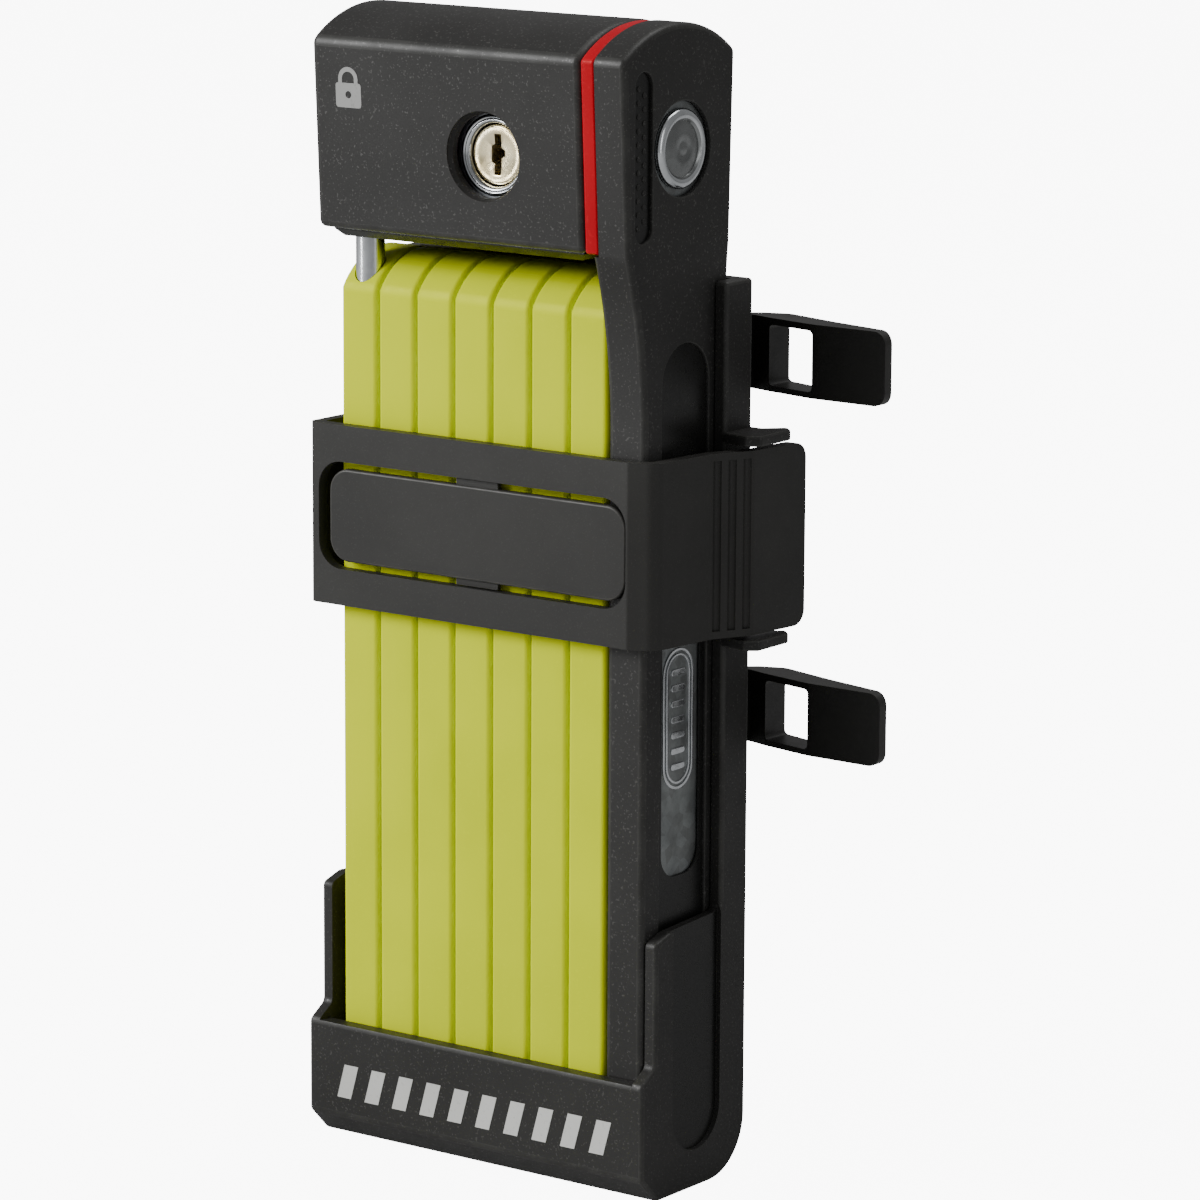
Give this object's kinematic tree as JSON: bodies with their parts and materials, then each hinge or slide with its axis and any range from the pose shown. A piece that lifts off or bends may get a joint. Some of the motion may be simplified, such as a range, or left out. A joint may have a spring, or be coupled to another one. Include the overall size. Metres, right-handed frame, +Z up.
{
  "type": "folding bar lock in frame holder",
  "caption": "Folding lock: flat riveted bars stacked side by side under a keyed lock body, standing in a cup holder with an elastic side strap and two frame saddles.",
  "frame": {"origin": "middle of the flat foot of the holder, below the bars", "axes": "+Z up along the bars, +X across the stack of bars towards the black link, -Y the keyhole side"},
  "size_m": [0.1068, 0.0505, 0.1909],
  "materials": {
    "sleeve_lime": "smooth semi-matt moulded sleeve",
    "zinc_steel": "zinc plated",
    "brass": "turned",
    "black_body": "fine grained moulding",
    "holder_plastic": "fine grained moulding",
    "strap_elastomer": "soft matt elastomer",
    "trim_red": "soft matt"
  },
  "bodies": {
    "holder": {"holder_frame": "holder_plastic", "saddle_lower": "strap_elastomer", "saddle_upper": "strap_elastomer", "saddle_screw_lower": "zinc_steel", "saddle_screw_upper": "zinc_steel", "strap_anchor": "strap_elastomer"},
    "lock": {"bar_1_core": "zinc_steel", "bar_2_core": "zinc_steel", "bar_3_core": "zinc_steel", "bar_4_core": "zinc_steel", "bar_5_core": "zinc_steel", "bar_6_core": "zinc_steel", "bar_7_core": "zinc_steel", "bar_1_sleeve": "sleeve_lime", "bar_2_sleeve": "sleeve_lime", "bar_3_sleeve": "sleeve_lime", "bar_4_sleeve": "sleeve_lime", "bar_5_sleeve": "sleeve_lime", "bar_6_sleeve": "sleeve_lime", "bar_7_sleeve": "sleeve_lime", "fold_rivet_1": "zinc_steel", "fold_rivet_2": "zinc_steel", "fold_rivet_3": "zinc_steel", "fold_rivet_4": "zinc_steel", "fold_rivet_5": "zinc_steel", "fold_rivet_6": "zinc_steel", "fold_rivet_7": "zinc_steel", "locking_pin": "zinc_steel", "link_cover": "black_body", "link_core": "zinc_steel", "head_rivet": "zinc_steel", "body_housing": "black_body", "body_trim": "trim_red", "body_base_plate": "zinc_steel", "lock_case": "zinc_steel", "lock_cylinder": "zinc_steel"},
    "key": {"key_plug": "brass", "plug_cam": "brass"},
    "bolt": {"locking_bolt": "zinc_steel"},
    "strap": {"strap_band": "strap_elastomer", "strap_pad": "strap_elastomer"}
  },
  "joints": [
    {"name": "lock_lift", "type": "slide", "parent": "holder", "child": "lock", "axis": [0, 0, 1], "range_m": [0, 0.15]},
    {"name": "strap_open", "type": "hinge", "parent": "holder", "child": "strap", "pos_m": [-0.03355, -0.0126, 0.107], "axis": [0, 0, -1], "range_deg": [0, 110]},
    {"name": "key_turn", "type": "hinge", "parent": "lock", "child": "key", "pos_m": [0.0039, -0.0132, 0.1689], "axis": [0, 1, 0], "range_deg": [0, 90]},
    {"name": "bolt_slide", "type": "slide", "parent": "lock", "child": "bolt", "axis": [1, 0, 0], "range_m": [0, 0.003]}
  ],
  "couplings": [
    {"joint": "key_turn", "follows": "bolt_slide", "rad_per_m": 523.6}
  ]
}
